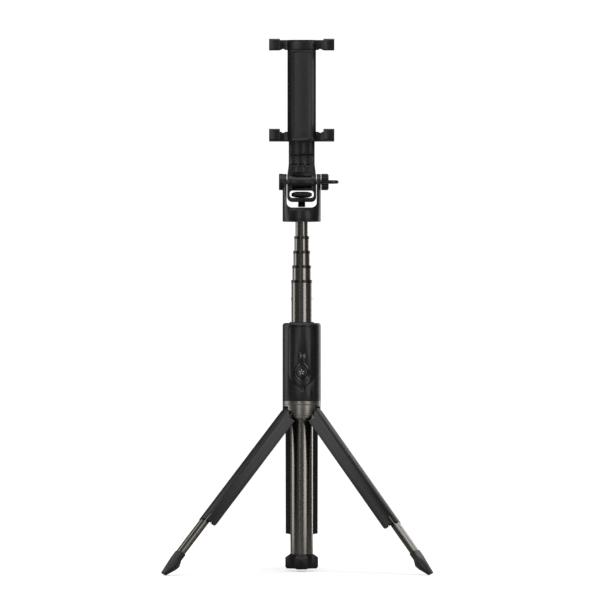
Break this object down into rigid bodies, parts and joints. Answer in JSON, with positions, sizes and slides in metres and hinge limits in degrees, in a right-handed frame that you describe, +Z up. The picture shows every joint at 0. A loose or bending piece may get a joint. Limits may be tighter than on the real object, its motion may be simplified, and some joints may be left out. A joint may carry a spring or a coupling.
{
  "type": "selfie stick",
  "caption": "Telescopic selfie stick with fold-out tripod legs, sliding leg rods, pull-out remote, panning and tilting head, camera screw and sprung swivelling phone clamp.",
  "frame": {"origin": "centre of the end cap's flat underside, on the stick's axis", "axes": "+Z up the stick; -Y is the phone side, where the remote and the clamp's jaws face; +X is the side of the wing knob"},
  "size_m": [0.2141, 0.1539, 0.4248],
  "materials": {
    "abs_cap": "fine moulded texture",
    "abs_grip": "fine moulded texture",
    "abs_leg": "fine moulded texture",
    "abs_head": "fine moulded texture",
    "abs_clamp": "fine moulded texture",
    "abs_remote": "satin",
    "abs_gloss": "polished",
    "pom_black": "smooth",
    "pom_white": "smooth",
    "anodised": "gunmetal anodised, drawn",
    "anodised_hub": "gunmetal anodised, turned",
    "anodised_collar": "gunmetal anodised, turned",
    "anodised_rod": "gunmetal anodised, drawn",
    "steel": "plain",
    "steel_dark": "blackened",
    "rubber_pad": "fine ribs",
    "rubber_foot": "moulded",
    "lens": "frosted",
    "board": "solder mask"
  },
  "bodies": {
    "base": {"end_cap": "abs_cap", "cap_screw": "steel", "column_tube": "anodised", "hub": "anodised_hub", "leg_pins": "steel", "grip_front": "abs_grip", "grip_rear": "abs_grip", "grip_screws": "steel", "top_bush": "pom_black"},
    "remote": {"remote_front": "abs_remote", "remote_back": "abs_remote", "remote_bezel": "abs_gloss", "led_lens": "lens", "circuit_board": "board", "coin_cell": "steel", "tact_switch": "steel"},
    "button": {"shutter_button": "abs_gloss"},
    "tube_a": {"tube_1": "anodised", "collar_1": "anodised_collar", "glide_1": "pom_white", "lock_buttons": "steel_dark"},
    "tube_b": {"tube_2": "anodised", "collar_2": "anodised_collar", "glide_2": "pom_white"},
    "tube_c": {"tube_3": "anodised", "collar_3": "anodised_collar", "glide_3": "pom_white"},
    "tube_d": {"tube_4": "anodised", "collar_4": "anodised_collar", "glide_4": "pom_white"},
    "tube_e": {"tube_5": "anodised", "glide_5": "pom_white", "pan_stud": "steel", "pan_screw": "steel"},
    "yoke": {"yoke": "abs_head", "hinge_bolt": "steel", "bolt_cap": "abs_head"},
    "knob": {"wing_knob": "abs_head"},
    "head": {"head_frame": "abs_head", "swivel_bolt": "steel"},
    "wheel": {"thumbwheel": "abs_head", "camera_screw": "steel_dark"},
    "clamp": {"clamp_housing": "abs_clamp", "clamp_back_cover": "abs_clamp", "back_pad": "rubber_pad", "jaw_pads_lower": "rubber_pad", "clamp_screws": "steel", "jaw_springs": "steel"},
    "jaw": {"upper_jaw": "abs_clamp", "jaw_pads_upper": "rubber_pad"},
    "leg_left": {"leg_left": "abs_leg"},
    "leg_right": {"leg_right": "abs_leg"},
    "leg_back": {"leg_back": "abs_leg"},
    "rod_left": {"rod_left": "anodised_rod", "foot_left": "rubber_foot"},
    "rod_right": {"rod_right": "anodised_rod", "foot_right": "rubber_foot"},
    "rod_back": {"rod_back": "anodised_rod", "foot_back": "rubber_foot"}
  },
  "joints": [
    {"name": "tube_a_slide", "type": "slide", "parent": "base", "child": "tube_a", "axis": [0, 0, 1], "range_m": [-0.03095, 0.1]},
    {"name": "tube_b_slide", "type": "slide", "parent": "tube_a", "child": "tube_b", "axis": [0, 0, 1], "range_m": [-0.00905, 0.12]},
    {"name": "tube_c_slide", "type": "slide", "parent": "tube_b", "child": "tube_c", "axis": [0, 0, 1], "range_m": [-0.00905, 0.12]},
    {"name": "tube_d_slide", "type": "slide", "parent": "tube_c", "child": "tube_d", "axis": [0, 0, 1], "range_m": [-0.00905, 0.12]},
    {"name": "tube_e_slide", "type": "slide", "parent": "tube_d", "child": "tube_e", "axis": [0, 0, 1], "range_m": [-0.01145, 0.12]},
    {"name": "pan", "type": "hinge", "parent": "tube_e", "child": "yoke", "pos_m": [0, 0, 0.2778], "axis": [0, 0, 1], "continuous": true},
    {"name": "tilt", "type": "hinge", "parent": "yoke", "child": "head", "pos_m": [0, 0, 0.3094], "axis": [-1, 0, 0], "range_deg": [-90, 120]},
    {"name": "knob_turn", "type": "hinge", "parent": "yoke", "child": "knob", "pos_m": [0.0216, 0, 0.3094], "axis": [1, 0, 0], "continuous": true},
    {"name": "camera_screw_turn", "type": "hinge", "parent": "head", "child": "wheel", "pos_m": [0, 0, 0.297], "axis": [0, 0, 1], "continuous": true},
    {"name": "clamp_swivel", "type": "hinge", "parent": "head", "child": "clamp", "pos_m": [0, 0.0053, 0.3823], "axis": [0, -1, 0], "range_deg": [-90, 90]},
    {"name": "jaw_slide", "type": "slide", "parent": "clamp", "child": "jaw", "axis": [0, 0, 1], "range_m": [0, 0.026], "stiffness_N_per_m": 180, "springref_m": -0.02, "deforming": ["jaw_springs"]},
    {"name": "remote_pull", "type": "slide", "parent": "base", "child": "remote", "axis": [0, -1, 0], "range_m": [0, 0.02]},
    {"name": "shutter_press", "type": "slide", "parent": "remote", "child": "button", "axis": [0, 1, 0], "range_m": [0, 0.0005], "stiffness_N_per_m": 600, "springref_m": -0.0006},
    {"name": "leg_left_fold", "type": "hinge", "parent": "base", "child": "leg_left", "pos_m": [-0.01108, -0.0064, 0.1272], "axis": [-0.5, 0.866, 0], "range_deg": [-41.3, 5.7]},
    {"name": "rod_left_slide", "type": "slide", "parent": "leg_left", "child": "rod_left", "axis": [-0.5716, -0.33, -0.7513], "range_m": [-0.03866, 0.031]},
    {"name": "leg_right_fold", "type": "hinge", "parent": "base", "child": "leg_right", "pos_m": [0.01108, -0.0064, 0.1272], "axis": [-0.5, -0.866, 0], "range_deg": [-39.2, 7.8]},
    {"name": "rod_right_slide", "type": "slide", "parent": "leg_right", "child": "rod_right", "axis": [0.5474, -0.316, -0.7749], "range_m": [-0.03355, 0.0362]},
    {"name": "leg_back_fold", "type": "hinge", "parent": "base", "child": "leg_back", "pos_m": [0, 0.0128, 0.1272], "axis": [1, 0, 0], "range_deg": [-30, 17]},
    {"name": "rod_back_slide", "type": "slide", "parent": "leg_back", "child": "rod_back", "axis": [0, 0.5, -0.866], "range_m": [-0.01656, 0.0531]}
  ]
}
